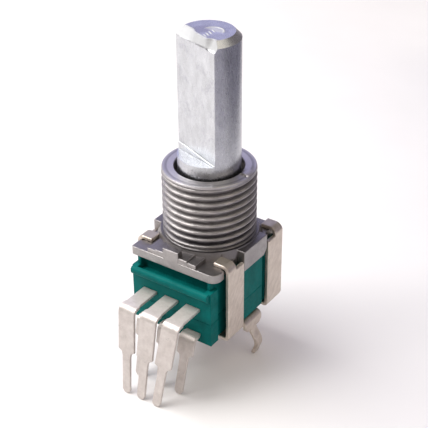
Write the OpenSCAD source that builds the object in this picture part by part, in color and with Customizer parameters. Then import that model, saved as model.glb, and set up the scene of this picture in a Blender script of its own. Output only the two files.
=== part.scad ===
// Two-gang rotary potentiometer, 9 mm size, with a threaded bushing and a flatted metal shaft.
// Millimetres. The origin is on the shaft's axis at the mounting face, where the bushing meets
// the plate. +Z runs up the shaft and the leads leave the body towards -Y.

/* [Shaft] */
// Diameter of the shaft
shaft_d = 6; // [4:0.1:6.4]
// Height of the shaft's end above the mounting face
shaft_len = 20; // [19.6:0.1:30]
// Length of the flat, from the shaft's end
flat_len = 12; // [6:0.1:12.4]
// Depth of the flat, from the round side
flat_depth = 1.5; // [0.5:0.1:1.8]
// Chamfer at the shaft's end
tip_chamfer = 0.55; // [0.2:0.05:0.8]
// Depth of the small bevel at the top of the flat
flat_bevel = 0.35; // [0.1:0.05:0.6]
// Height of that bevel along the shaft
flat_bevel_h = 0.8; // [0.4:0.05:2]
// Height of the thin land that the cutter left at the foot of the flat
foot_land_h = 1.1; // [0.4:0.1:3]
// Thickness of that land
foot_land_t = 0.1; // [0.05:0.01:0.2]
// Diameter of the pip that the lathe tool left at the shaft's end
pip_d = 1.1; // [0.4:0.1:2]
// Height of that pip
pip_h = 0.08; // [0.02:0.01:0.15]
// Turn of the shaft from mid travel, anticlockwise seen from its end
shaft_turn = -15; // [-150:1:150]
// Whole turning range, about mid travel
travel = 300; // [200:1:310]
// How far the retaining flange stands out of the shaft
flange_w = 0.65; // [0.3:0.05:0.8]
// Thickness of the retaining flange
flange_t = 0.75; // [0.4:0.05:1]
// Diameter of the driver that turns the rotors
driver_d = 3.8; // [3.2:0.1:4]
// Width across the driver's two flats
driver_af = 2.6; // [2:0.1:3]
// Diameter of the tail pin in the lower bearing
tail_d = 2; // [1.2:0.1:2.2]
// Length of the tail pin
tail_len = 0.6; // [0.3:0.05:0.8]

/* [Bushing] */
// Outer diameter of the bushing, over the thread crests
bushing_d = 9; // [8.6:0.1:9.6]
// Length of the bushing above the mounting face
bushing_len = 7; // [4:0.1:7.4]
// Height of the undercut where the thread runs out above the mounting face
relief_h = 0.45; // [0.4:0.05:0.8]
// Depth of that undercut below the thread crests
relief_d = 0.2; // [0.17:0.01:0.4]
// Depth of the undercut's floor below the mounting face
relief_floor = 0.1; // [0.05:0.05:0.2]
// Chamfer at the bushing's nose
nose_chamfer = 0.45; // [0.1:0.05:0.6]
// Width of the open ring round the shaft at the bushing's mouth
mouth_gap = 0.3; // [0.2:0.05:0.7]
// Depth of that ring
mouth_depth = 1.6; // [0.5:0.1:3]
// Width of the flat seat round the undercut
seat_w = 0.2; // [0.1:0.05:0.35]
// Spread of the cone between the seat and the deck
seat_cone = 0.35; // [0.1:0.05:0.6]
// Clearance of the shaft in its bearings, on the radius
bearing_gap = 0.03; // [0.01:0.005:0.1]

/* [Plate] */
// Width of the plate
plate_w = 9.7; // [9.3:0.05:10]
// Front edge of the plate, from the shaft's axis
plate_front = 6.1; // [5.4:0.05:6.4]
// Rear edge of the plate and the housings, from the shaft's axis
body_rear = 4.85; // [4.5:0.05:6]
// Thickness of the plate at its deck
plate_t = 0.9; // [0.7:0.05:2]
// Depth of the deck below the mounting face
deck_drop = 0.75; // [0.65:0.05:1]
// Radius of the plate's rear corners
plate_r = 0.55; // [0.2:0.05:1.2]
// Radius of its left front corner
plate_left_r = 0.2; // [0.05:0.05:1.2]
// Radius of its right front corner
plate_right_r = 0.95; // [0.3:0.05:1.2]
// Width of the locating block at the front edge
block_w = 1.75; // [0.8:0.05:2.4]
// Sideways place of the block
block_x = -0.25; // [-0.6:0.05:0.6]
// Depth of the block, from front to back
block_d = 0.7; // [0.4:0.05:1]
// Height of the block above the mounting face
block_h = 0.35; // [0.1:0.05:0.8]
// Width of each step beside the block
step_w = 0.95; // [0.4:0.05:1.1]
// Height of the outer steps above the deck
step_foot = 0.4; // [0.2:0.05:0.45]
// Rise from the outer steps to the inner ones
step_rise = 0.15; // [0.05:0.01:0.2]
// Length of the side wings between the arms
wing_len = 3.9; // [3:0.1:4.1]
// Depth of the wings' skirts below the plate
wing_skirt = 0.55; // [0.2:0.05:1]
// Drop of the wings' tops below the mounting face
wing_drop = 0.1; // [0:0.05:0.3]

/* [Housings] */
// Height of the upper housing
upper_h = 4.35; // [4:0.05:6]
// Height of the lower housing
lower_h = 2.5; // [2.3:0.05:4]
// Front face of the housings, from the shaft's axis
housing_front = 6.5; // [6.2:0.05:7]
// Width of the housings' front block
front_w = 9.1; // [8.6:0.1:9.4]
// Depth of the front block, from front to back
front_d = 1.25; // [1:0.05:1.5]
// Width of the neck behind the front block
neck_w = 8.3; // [7.9:0.1:8.6]
// Front edge of the wide shell behind the neck, from the shaft's axis
shell_front = 3.4; // [2.6:0.1:4.4]
// Width over the side panels between the arms
panel_w = 9.92; // [9.8:0.02:9.98]
// Length of the side panels
panel_len = 3.5; // [2.6:0.1:3.7]
// Room between the rotors and the wall of the round cavity
rotor_room = 0.55; // [0.3:0.05:0.65]
// Floor of the upper housing, under its board
upper_floor = 1.35; // [1:0.05:1.8]
// Floor of the lower housing, under its board
lower_floor = 1; // [0.85:0.05:1.2]
// How far the bead stands ahead of the front face
bead_out = 0.5; // [0.2:0.05:0.8]
// Height of the bead's upright front
bead_t = 0.6; // [0.4:0.05:0.9]
// Height of the slope under it
bead_foot = 0.5; // [0.1:0.05:0.8]
// Depth of the bead's top below the plate
bead_drop = 0.85; // [0.5:0.05:1.2]
// Set-back of the wall above the bead
upper_setback = 0.45; // [0.2:0.05:0.6]
// Depth of the long pocket in that wall, from the front face
pocket_d = 1; // [0.7:0.05:1.1]
// Depth of the pocket's floor below the bead's top
pocket_drop = 0.5; // [0:0.05:0.8]
// Chamfer along the lower edges
base_chamfer = 0.35; // [0.25:0.05:0.6]

/* [Bracket] */
// Thickness of the bracket's sheet
sheet_t = 0.4; // [0.3:0.02:0.44]
// Clearance between the arms and the widest housing wall behind them
arm_gap = 0.05; // [0.02:0.01:0.15]
// Front edge of the front arms, from the shaft's axis
arm_front = 4.6; // [4.4:0.05:4.8]
// Width of the arms
arm_w = 2.6; // [1.8:0.05:2.6]
// Width of the folded tabs
tab_w = 1.3; // [0.8:0.05:1.6]
// Reach of the tabs over the plate, from the arm's outer face
tab_reach = 1.75; // [1.2:0.05:2]
// Inside radius of the tabs' bends
tab_r = 0.35; // [0.15:0.05:0.45]
// Inside radius of the bends at the bottom
base_r = 0.15; // [0.1:0.05:0.2]
// Diameter of the hole in the bottom
base_hole_d = 3; // [1:0.1:6]
// Corner cut at the rear foot of the rear arms
arm_cut = 0.5; // [0.2:0.05:1]
// Width of the lugs' roots
lug_root_w = 2.8; // [2:0.1:3]
// Height of the lugs' roots
lug_root_h = 0.95; // [0.7:0.05:1.4]
// Width of the lugs' legs
lug_w = 1; // [0.8:0.05:1.6]
// Bulge that springs the lugs into the board
lug_bulge = 0.55; // [0.2:0.05:0.9]
// Centre of the lugs, from the shaft's axis
lug_y = -0.2; // [-0.4:0.05:0.4]
// Lean of the lugs' legs towards the rear
lug_lean = 10; // [0:1:12]

/* [Terminals] */
// Thickness of the terminals
lead_t = 0.3; // [0.2:0.01:0.4]
// Distance between neighbouring terminals
lead_pitch = 2.5; // [2.2:0.05:2.7]
// Depth of the lead tips below the mounting face
stand_h = 13.25; // [11.5:0.05:16]
// Width of the terminals where they leave the housing
lead_root_w = 1.6; // [1.2:0.05:1.7]
// Width of the terminals' upper legs
lead_wide_w = 1.85; // [1.3:0.05:2]
// Width of the lower legs that are soldered
lead_narrow_w = 0.9; // [0.5:0.05:1]
// Outside radius of the terminals' bends
lead_r = 0.7; // [0.45:0.05:0.9]
// Reach of the upper row ahead of the shaft's axis
upper_reach = 10.25; // [9:0.05:12]
// Reach of the lower row ahead of the shaft's axis
lower_reach = 7.7; // [7.6:0.05:8.4]
// Depth of the upper row's shoulders below the mounting face
upper_shoulder = 9; // [7:0.1:10.5]
// Depth of the lower row's shoulders below the mounting face
lower_shoulder = 9.3; // [9:0.1:11]
// Outward lean of the upper row
upper_lean = 11.8; // [0:0.2:15]
// Outward lean of the lower row
lower_lean = 17.5; // [0:0.5:20]
// Sideways drift of the upper left lead's tip
upper_drift_left = 0.85; // [-0.5:0.05:1]
// Sideways drift of the upper middle lead's tip
upper_drift_centre = 0.05; // [-0.6:0.05:0.6]
// Sideways drift of the upper right lead's tip
upper_drift_right = -0.65; // [-1:0.05:0.5]
// Sideways drift of the lower left lead's tip
lower_drift_left = 0.35; // [-0.5:0.05:1]
// Sideways drift of the lower middle lead's tip
lower_drift_centre = 0.4; // [-0.6:0.05:0.6]
// Sideways drift of the lower right lead's tip
lower_drift_right = 0.05; // [-1:0.05:0.5]

/* [Inside] */
// Thickness of the element boards
board_t = 0.4; // [0.3:0.02:0.5]
// Thickness of the printed films
film_t = 0.08; // [0.04:0.01:0.1]
// Room between the upper board and its rotor
upper_wiper_room = 0.65; // [0.5:0.01:0.8]
// Room between the lower board and its rotor
lower_wiper_room = 0.4; // [0.34:0.01:0.5]
// Thickness of the wipers' spring sheet
wiper_t = 0.12; // [0.08:0.01:0.15]
// Rim of the rotors outside the resistive tracks
rotor_rim = 0.15; // [0.05:0.05:0.25]
// Width of the resistive tracks
track_w = 0.8; // [0.5:0.05:0.9]
// Space between the tracks and the collector rings
film_spacing = 0.1; // [0.05:0.05:0.2]
// Width of the collector rings
collector_w = 0.3; // [0.15:0.05:0.4]
// Half angle of the stop rib in the upper housing
rib_angle = 11; // [6:1:12]

/* [Hidden] */
$fn = 48;

// Small distance by which cutting solids pass through what they cut
eps = 0.01;
// Clearance between pieces that are fitted together and don't turn
fit_gap = 0.02;
// Room round the turning pieces
turn_gap = 0.1;
// Room round the flange, which turns in the plate's pocket
flange_room = 0.15;
// Room round the driver where it passes the boards and floors
driver_room = 0.15;
// Gap left under the wipers' fingers, so that no finger cuts into a film
touch_gap = 0.03;
// Room between the boards and the cavity's wall
board_room = 0.1;
// Edge that the boards keep inside the collector rings
film_edge = 0.05;
// Room under the tail pin in its blind bearing
tail_room = 0.05;
// Straight neck between a tab's bend and the arm's shoulders
tab_neck = 0.05;
// Room between the front arms and the front end of their notches
notch_room = 0.1;
// Depth by which the steps and the wings run into the solids behind them
bite = 0.5;

deck_z = -deck_drop;
plate_z = deck_z - plate_t;
seam_z = plate_z - upper_h;
base_z = seam_z - lower_h;
bracket_z = base_z - sheet_t;

shaft_r = shaft_d / 2;
flange_r = shaft_r + flange_w;
flange_top = plate_z + plate_t + 0.05;
flange_z = flange_top - flange_t;
bore_r = shaft_r + bearing_gap;
bushing_r = bushing_d / 2;
relief_r = bushing_r - relief_d;
seat_in = bushing_r + 0.05;
seat_r = seat_in + seat_w;

collector_in = driver_d / 2 + driver_room + film_edge;
collector_r = collector_in + collector_w;
track_in = collector_r + film_spacing;
track_r = track_in + track_w;
rotor_r = track_r + rotor_rim;
cavity_r = rotor_r + rotor_room;

body_w = plate_w - 0.1;
body_front_r = 0.3;
body_rear_r = 0.6;

arm_in = plate_w / 2 + arm_gap;
arm_out = arm_in + sheet_t;
tab_edge = plate_w / 2 - tab_r;
tab_bend_z = deck_z - tab_r;
shoulder_z = tab_bend_z - tab_neck;
rear_arm_y = body_rear - arm_w;
front_arm_y = -arm_front;

bead_top = plate_z - bead_drop;
bead_inset = 0.15;
bead_r = 0.3;
pocket_cheek = 0.35;
corner_relief = 0.35;
panel_slot_d = 0.7;

upper_lead_z = seam_z + upper_floor;
lower_lead_z = base_z + lower_floor;
upper_film_z = upper_lead_z + board_t;
lower_film_z = lower_lead_z + board_t;
upper_rotor_z = upper_film_z + upper_wiper_room;
lower_rotor_z = lower_film_z + lower_wiper_room;
lower_rotor_top = seam_z - turn_gap;
tongue_w = 2 * lead_pitch + lead_root_w + 0.2;
front_wall = 1.5;
tongue_y = housing_front - front_wall;
film_front = tongue_y - 0.3;
lead_in = cavity_r - 0.3;
key_w = 2;
key_d = 0.5;
tail_root = 0.1;
tail_top = lower_lead_z + tail_root;
tail_z = tail_top - tail_root - tail_len;
finger_root = -1.25;
finger_w = 0.28;
track_tip_x = 0.9;
collector_tip_x = 0.3;

metal = "#a39c9c";
nickel = "#c9bfb4";
green = "#00695f";

module block(x0, x1, y0, y1, z0, z1)
    translate([x0, y0, z0]) cube([x1 - x0, y1 - y0, z1 - z0]);

module both_sides()
    for (side = [0, 1]) mirror([side, 0, 0]) children();

// Square-edged slab whose four upright corners are round
module rounded_slab(w, y0, y1, z0, z1, r_front, r_rear) {
    block(-w / 2 + r_front, w / 2 - r_front, y0, y0 + r_front + eps, z0, z1);
    block(-w / 2, w / 2, y0 + r_front, y1 - r_rear, z0, z1);
    block(-w / 2 + r_rear, w / 2 - r_rear, y1 - r_rear - eps, y1, z0, z1);
    both_sides() {
        translate([w / 2 - r_front, y0 + r_front, z0]) cylinder(r = r_front, h = z1 - z0);
        translate([w / 2 - r_rear, y1 - r_rear, z0]) cylinder(r = r_rear, h = z1 - z0);
    }
}

// Bushing and plate, one zinc die casting

module bushing_body() {
    translate([0, 0, deck_z]) cylinder(r = relief_r, h = relief_h - deck_z + eps);
    translate([0, 0, relief_h]) cylinder(r = bushing_r, h = bushing_len - nose_chamfer - relief_h);
    translate([0, 0, bushing_len - nose_chamfer])
        cylinder(r1 = bushing_r, r2 = bushing_r - nose_chamfer, h = nose_chamfer);
}

// Cone that carries the flat seat, kept within the plate's edges and clear of the four tabs
module seat() difference() {
    intersection() {
        translate([0, 0, deck_z - eps]) cylinder(r1 = seat_r + seat_cone, r2 = seat_r, h = deck_drop + eps);
        block(-plate_w / 2, plate_w / 2, -plate_front, body_rear, plate_z, bushing_len);
    }
    both_sides() {
        tab_room(front_arm_y, front_arm_y + tab_w + fit_gap);
        tab_room(body_rear - tab_w - fit_gap, body_rear + 1);
    }
    translate([0, 0, -relief_floor]) cylinder(r = seat_in, h = 1);
}

module tab_room(y0, y1) block(arm_out - tab_reach - fit_gap, arm_out, y0, y1, deck_z, bushing_len);

// Plate up to its deck. Its left front corner is sharp, and the right one is well rounded
module plate_slab() {
    corner_x = plate_w / 2 - plate_right_r;
    corner_y = -plate_front + plate_right_r;
    difference() {
        rounded_slab(plate_w, -plate_front, body_rear, plate_z, deck_z, plate_left_r, plate_r);
        difference() {
            block(corner_x, plate_w, -plate_w, corner_y, plate_z - 1, deck_z + 1);
            translate([corner_x, corner_y, plate_z - 2]) cylinder(r = plate_right_r, h = plate_t + 4);
        }
    }
}

// Two broad steps across the front, the lower one slightly set back, and the locating block on them
module front_steps() translate([block_x, 0, 0]) {
    back = -bushing_r + bite;
    half = block_w / 2;
    setback = 0.05;
    block(-half - 2 * step_w, half + 2 * step_w, -plate_front + 2 * setback, back,
        deck_z - eps, deck_z + step_foot);
    block(-half - step_w, half + step_w, -plate_front + setback, back,
        deck_z - eps, deck_z + step_foot + step_rise);
    block(-half, half, -plate_front, -plate_front + block_d, deck_z - eps, block_h);
}

// One side wing with its skirt, cut at the rear foot
module wing() {
    foot = plate_z - wing_skirt;
    back = wing_len / 2;
    foot_cut = 0.75;
    difference() {
        union() {
            block(tab_edge - bite, arm_out, -back, back, plate_z, -wing_drop);
            block(panel_w / 2 + fit_gap, arm_out, -back, back, foot, plate_z + eps);
        }
        translate([arm_out, back, foot]) rotate([45, 0, 0])
            cube([4, foot_cut, foot_cut], center = true);
    }
}

// Notch that lets a pair of arms pass the plate's edge
module arm_notch(y0, y1)
    block(tab_edge, arm_out + 1, y0, y1, plate_z - 1, bushing_len);

module bushing_plate() color(metal) difference() {
    union() {
        difference() {
            union() {
                plate_slab();
                seat();
            }
            both_sides() {
                arm_notch(front_arm_y - notch_room, -wing_len / 2);
                arm_notch(wing_len / 2, body_rear + 1);
            }
        }
        bushing_body();
        front_steps();
        both_sides() wing();
    }
    translate([0, 0, plate_z - 1]) cylinder(r = bore_r, h = bushing_len - plate_z + 2);
    translate([0, 0, bushing_len - mouth_depth]) cylinder(r = shaft_r + mouth_gap, h = mouth_depth + 1);
    translate([0, 0, plate_z - 1])
        cylinder(r = max(flange_r, rotor_r) + flange_room, h = flange_top - plate_z + 1 + bearing_gap);
}

// Shaft with its flange, driver and tail, one turned and milled piece

module shaft_round() rotate_extrude() polygon([
    [0, flange_z], [flange_r, flange_z], [flange_r, flange_top], [shaft_r, flange_top],
    [shaft_r, shaft_len - tip_chamfer], [shaft_r - tip_chamfer, shaft_len],
    [pip_d / 2, shaft_len], [pip_d / 3, shaft_len + pip_h], [0, shaft_len + pip_h]]);

module driver_outline(gap = 0) intersection() {
    circle(r = driver_d / 2 + gap);
    square([driver_d + 1, driver_af + 2 * gap], center = true);
}

// What the cutter takes away at the flat, with the bevel above and the thin land at its foot
module flat_cut() {
    plane = shaft_r - flat_depth;
    foot = shaft_len - flat_len;
    foot_land_end = 0.8 * shaft_r;
    difference() {
        block(-shaft_r - 1, shaft_r + 1, -shaft_r - 1, -plane, foot, shaft_len + 1);
        translate([0, -plane, foot]) rotate([90, 0, 0]) linear_extrude(foot_land_t)
            polygon([[-shaft_r - 1, -eps], [-shaft_r - 1, foot_land_h], [foot_land_end, -eps]]);
    }
    translate([-shaft_r - 1, 0, 0]) rotate([90, 0, 90]) linear_extrude(shaft_d + 2)
        polygon([[-plane - eps, shaft_len - flat_bevel_h], [-plane + flat_bevel, shaft_len],
            [-plane + flat_bevel, shaft_len + 1], [-plane - eps, shaft_len + 1]]);
}

module shaft() color("#d9d9de") rotate(shaft_turn) {
    difference() {
        shaft_round();
        flat_cut();
    }
    translate([0, 0, tail_top]) linear_extrude(flange_z - tail_top + eps) driver_outline();
    translate([0, 0, tail_z]) cylinder(d = tail_d, h = tail_top - tail_z + eps);
}

// Housings

// Outline that both housings share, from z0 to z1
module housing_body(z0, z1) {
    h = z1 - z0;
    block(-front_w / 2, front_w / 2, -housing_front, -housing_front + front_d, z0, z1);
    block(-neck_w / 2, neck_w / 2, -housing_front + front_d - eps, -shell_front + bite, z0, z1);
    rounded_slab(body_w, -shell_front, body_rear, z0, z1, body_front_r, body_rear_r);
    block(-panel_w / 2, panel_w / 2, -panel_len / 2, panel_len / 2, z0, z1);
}

// Slots behind the side panels, which leave the rear arms' edges free
module panel_slots(z0, z1) both_sides()
    block(body_w / 2 - panel_slot_d, arm_out, panel_len / 2, rear_arm_y + notch_room, z0 - 1, z1 + 1);

// Slots in the front wall through which the terminals leave
module lead_slots(z) for (place = [-1, 0, 1])
    block(place * lead_pitch - lead_root_w / 2 - fit_gap, place * lead_pitch + lead_root_w / 2 + fit_gap,
        -housing_front - 1, -lead_in + turn_gap, z - lead_t - fit_gap, z + fit_gap);

// Round room for the board and the rotor, with a bay for the board's tongue
module cavity(floor_z, top_z) {
    half = tongue_w / 2 + board_room;
    translate([0, 0, floor_z]) cylinder(r = cavity_r, h = top_z - floor_z + 1);
    block(-half, half, -tongue_y - board_room, 0, floor_z, top_z + 1);
}

// Bead across the front of the upper housing, with a round upper edge and a sloping foot
module bead() {
    half = front_w / 2 - bead_inset;
    front = -housing_front - bead_out;
    round_edge = [for (a = [0 : 22.5 : 90]) [front + bead_r * (1 - sin(a)), bead_r * (cos(a) - 1)]];
    translate([-half, 0, bead_top]) rotate([90, 0, 90]) linear_extrude(2 * half)
        polygon(concat([[bite - housing_front, 0]], round_edge, [[front, -bead_t],
            [-housing_front, -bead_t - bead_foot], [bite - housing_front, -bead_t - bead_foot]]));
}

// Long pocket behind the bead, closed by a cheek at each end
module front_pocket() {
    half = front_w / 2 - corner_relief - pocket_cheek;
    block(-half, half, -housing_front, -housing_front + pocket_d, bead_top - pocket_drop, plate_z + 1);
}

// Wedge of the round cavity that the rotor's lug runs into at both ends of its travel
module stop_rib() rotate(90 - rib_angle) rotate_extrude(angle = 2 * rib_angle)
    translate([rotor_r + turn_gap, upper_rotor_z])
        square([cavity_r - rotor_r, plate_z - upper_rotor_z - fit_gap]);

module upper_housing() color(green) {
    difference() {
        union() {
            housing_body(seam_z, plate_z);
            bead();
        }
        panel_slots(seam_z, plate_z);
        cavity(upper_lead_z, plate_z);
        lead_slots(upper_lead_z);
        block(-plate_w, plate_w, -housing_front - 1, -housing_front + upper_setback, bead_top, plate_z + 1);
        both_sides() block(front_w / 2 - corner_relief, plate_w, -housing_front - 1,
            -housing_front + front_d, bead_top, plate_z + 1);
        front_pocket();
        translate([0, 0, seam_z - 1]) cylinder(r = driver_d / 2 + driver_room, h = upper_floor + 2);
    }
    stop_rib();
}

module lower_housing() color("#006158") difference() {
    housing_body(base_z, seam_z);
    panel_slots(base_z, seam_z);
    cavity(lower_lead_z, seam_z);
    lead_slots(lower_lead_z);
    both_sides() translate([plate_w / 2, 0, base_z]) rotate([0, 45, 0])
        cube([base_chamfer * sqrt(2), 4 * housing_front, base_chamfer * sqrt(2)], center = true);
    translate([0, 0, tail_z - tail_room]) cylinder(r = tail_d / 2 + bearing_gap, h = lower_floor);
}

// Bracket, one folded sheet

// Quarter bend about a line along Y through (x, z), with inside radius r, turning on from start
module sheet_bend(x, z, r, start, y0, y1)
    translate([x, y1, z]) rotate([90, 0, 0]) rotate(start)
        rotate_extrude(angle = 90) translate([r, 0]) square([sheet_t, y1 - y0]);

// One arm from the bottom to its shoulders, and the narrower tab folded over the plate at tab_y
module arm(y0, y1, tab_y) {
    bend_x = arm_in - base_r;
    bend_z = base_z + base_r;
    tab_top = deck_z + sheet_t;
    tab_bend_x = arm_in - tab_r;
    block(bend_x - 1, bend_x, y0, y1, bracket_z, base_z);
    sheet_bend(bend_x, bend_z, base_r, -90, y0, y1);
    block(arm_in, arm_out, y0, y1, bend_z, shoulder_z);
    block(arm_in, arm_out, tab_y, tab_y + tab_w, shoulder_z - eps, tab_bend_z);
    sheet_bend(tab_bend_x, tab_bend_z, tab_r, 0, tab_y, tab_y + tab_w);
    block(arm_out - tab_reach, tab_bend_x, tab_y, tab_y + tab_w, deck_z, tab_top);
}

// Centre line of a lug's leg, which bulges outwards between the root and the tip
function lug_x(u) = (arm_in + arm_out) / 2 + lug_bulge * pow(sin(180 * u), 1.5);

module lug_leg() {
    steps = 12;
    side = sheet_t / 2;
    root_bite = 0.25;
    drop = stand_h + bracket_z - lug_root_h;
    length = drop / cos(lug_lean);
    function at(u, way) = [lug_x(u) + way * side, -length * u];
    intersection() {
        translate([0, lug_y, bracket_z - lug_root_h]) rotate([90 + lug_lean, 0, 0])
            translate([0, 0, -lug_w / 2]) linear_extrude(lug_w) polygon(concat(
                [[at(0, -1)[0], root_bite]], [for (i = [0 : steps]) at(i / steps, -1)],
                [at(1, -1) - [0, 1], at(1, 1) - [0, 1]],
                [for (i = [steps : -1 : 0]) at(i / steps, 1)], [[at(0, 1)[0], root_bite]]));
        block(0, 2 * arm_out, -body_rear, body_rear, -stand_h, 0);
    }
}

module lug() {
    root_z = bracket_z - lug_root_h;
    bend_x = arm_in - base_r;
    half = lug_root_w / 2;
    corner = 0.55;
    block(bend_x - 1, bend_x, lug_y - half, lug_y + half, bracket_z, base_z);
    sheet_bend(bend_x, bracket_z - base_r, base_r, 0, lug_y - half, lug_y + half);
    difference() {
        block(arm_in, arm_out, lug_y - half, lug_y + half, root_z, bracket_z - base_r);
        for (way = [-1, 1]) translate([arm_in, lug_y + way * half, root_z]) rotate([45, 0, 0])
            cube([4, corner, corner], center = true);
    }
    lug_leg();
}

module mounting_bracket() color(nickel) {
    half = arm_in - base_r - bite;
    difference() {
        block(-half, half, front_arm_y, body_rear, bracket_z, base_z);
        translate([0, 0, bracket_z - 1]) cylinder(d = base_hole_d, h = sheet_t + 2);
    }
    both_sides() {
        arm(front_arm_y, front_arm_y + arm_w, front_arm_y);
        difference() {
            arm(rear_arm_y, body_rear, body_rear - tab_w);
            translate([arm_in, body_rear, bracket_z]) rotate([45, 0, 0])
                cube([4, arm_cut * sqrt(2), arm_cut * sqrt(2)], center = true);
        }
        lug();
    }
}

// Terminals

// Outline of a leg: u runs across it and v down it, and the whole leg drifts sideways
module leg_outline(length, shoulder, drift) {
    wide = lead_wide_w / 2;
    narrow = lead_narrow_w / 2;
    ease = 0.2;
    round_off = 0.25;
    right = [[wide, -eps], [wide, shoulder], [narrow + ease / 2, shoulder + ease],
        [narrow, shoulder + 3 * ease], [narrow, length - round_off], [narrow - round_off, length]];
    function at(u, v) = [u + drift * v / length, -v];
    polygon(concat([for (p = right) at(p[0], p[1])],
        [for (i = [len(right) - 1 : -1 : 0]) at(-right[i][0], right[i][1])]));
}

// One terminal: the strip that leaves the housing, the bend, and the leaning leg down to the board
module terminal(place, top_z, reach, shoulder_depth, lean, drift) {
    inner_r = lead_r - lead_t;
    centre_y = -reach + lead_r;
    centre_z = top_z - lead_r;
    inner_z = centre_z + inner_r * sin(lean);
    length = (inner_z + stand_h) / cos(lean);
    shoulder = (inner_z + shoulder_depth) / cos(lean);
    wide = lead_wide_w / 2;
    root = lead_root_w / 2;
    flare = 0.25;
    translate([place * lead_pitch, 0, 0]) {
        translate([0, 0, top_z - lead_t]) linear_extrude(lead_t) polygon([
            [-root, -lead_in], [-root, centre_y + 2 * flare], [-wide, centre_y + flare],
            [-wide, centre_y - eps], [wide, centre_y - eps], [wide, centre_y + flare],
            [root, centre_y + 2 * flare], [root, -lead_in]]);
        translate([-wide, centre_y, centre_z]) rotate([90, 0, 90]) rotate(90)
            rotate_extrude(angle = 90 - lean) translate([inner_r, 0]) square([lead_t, 2 * wide]);
        translate([0, centre_y, centre_z]) rotate([-lean, 0, 0]) translate([0, -inner_r, 0])
            rotate([90, 0, 0]) linear_extrude(lead_t) leg_outline(length, shoulder, drift);
    }
}

module upper_terminal(place, drift) color("#d3c9c4")
    terminal(place, upper_lead_z, upper_reach, upper_shoulder, upper_lean, drift);
module lower_terminal(place, drift) color("#cbc2bd")
    terminal(place, lower_lead_z, lower_reach, lower_shoulder, lower_lean, drift);

module upper_terminal_left() upper_terminal(-1, upper_drift_left);
module upper_terminal_centre() upper_terminal(0, upper_drift_centre);
module upper_terminal_right() upper_terminal(1, upper_drift_right);
module lower_terminal_left() lower_terminal(-1, lower_drift_left);
module lower_terminal_centre() lower_terminal(0, lower_drift_centre);
module lower_terminal_right() lower_terminal(1, lower_drift_right);

// Inner pieces

// Round board with a tongue over the terminals and a key slot at the rear
module element_board(z) difference() {
    union() {
        translate([0, 0, z]) cylinder(r = cavity_r - board_room, h = board_t);
        block(-tongue_w / 2, tongue_w / 2, -tongue_y, 0, z, z + board_t);
    }
    translate([0, 0, z - 1]) cylinder(r = driver_d / 2 + driver_room, h = board_t + 2);
    block(-key_w / 2, key_w / 2, cavity_r - key_d, cavity_r + 1, z - 1, z + board_t + 1);
}

// Printed C of carbon, open towards the terminals, with a leg to each outer terminal
module resistive_track(z) {
    open = 25;
    leg_in = lead_pitch - 1.15;
    leg_out = lead_pitch - 0.6;
    rotate(-90 + open) rotate_extrude(angle = 360 - 2 * open) translate([track_in, z])
        square([track_w, film_t]);
    both_sides() block(leg_in, leg_out, -film_front, -cavity_r * 0.6, z, z + film_t);
}

// Printed silver ring with a leg to the middle terminal
module collector_ring(z) {
    leg_half = 0.3;
    difference() {
        union() {
            translate([0, 0, z]) cylinder(r = collector_r, h = film_t);
            block(-leg_half, leg_half, -film_front, -collector_r + collector_w / 2, z, z + film_t);
        }
        translate([0, 0, z - 1]) cylinder(r = collector_in, h = film_t + 2);
    }
}

// Disc that the driver turns
module rotor(z0, z1) difference() {
    translate([0, 0, z0]) cylinder(r = rotor_r, h = z1 - z0);
    translate([0, 0, z0 - 1]) linear_extrude(z1 - z0 + 2) driver_outline(fit_gap);
}

// Spring ring with two bent fingers that press on the track and on the collector
module wiper(top_z, film_z) {
    drop = top_z - wiper_t - film_z - film_t - touch_gap;
    ring_r = track_r - 0.1;
    window_y = finger_y(collector_r - collector_w / 2, collector_tip_x) - 1.5 * finger_w;
    difference() {
        translate([0, 0, top_z - wiper_t]) cylinder(r = ring_r, h = wiper_t);
        translate([0, 0, top_z - 1]) cylinder(r = driver_d / 2 + driver_room, h = 2);
        block(finger_root + 0.15, -finger_root + 0.55, window_y, ring_r + 1, top_z - 1, top_z + 1);
    }
    contact_finger(track_r - track_w / 2, track_tip_x, top_z - wiper_t, drop);
    contact_finger(collector_r - collector_w / 2, collector_tip_x, top_z - wiper_t, drop);
}

// Sideways place of a finger whose tip is at radius and tip_x
function finger_y(radius, tip_x) = sqrt(pow(radius, 2) - pow(tip_x, 2)) - finger_w / 2;

// Straight finger that slopes down to touch a film at the given radius
module contact_finger(radius, tip_x, z, drop) {
    run = tip_x - finger_root;
    tilt = atan(drop / run);
    translate([finger_root, finger_y(radius, tip_x), z]) rotate([0, tilt, 0])
        cube([run / cos(tilt), finger_w, wiper_t]);
}

module upper_element_board() color("#6b4a2b") element_board(upper_lead_z);
module lower_element_board() color("#6b4a2b") element_board(lower_lead_z);
module upper_resistive_track() color("#202022") resistive_track(upper_film_z);
module lower_resistive_track() color("#202022") resistive_track(lower_film_z);
module upper_collector_ring() color("#b8b8bc") collector_ring(upper_film_z);
module lower_collector_ring() color("#b8b8bc") collector_ring(lower_film_z);
module upper_wiper() color("#c2a25a") rotate(shaft_turn) wiper(upper_rotor_z, upper_film_z);
module lower_wiper() color("#c2a25a") rotate(shaft_turn) wiper(lower_rotor_z, lower_film_z);
module lower_rotor() color("#2a2a2c") rotate(shaft_turn) rotor(lower_rotor_z, lower_rotor_top);

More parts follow.
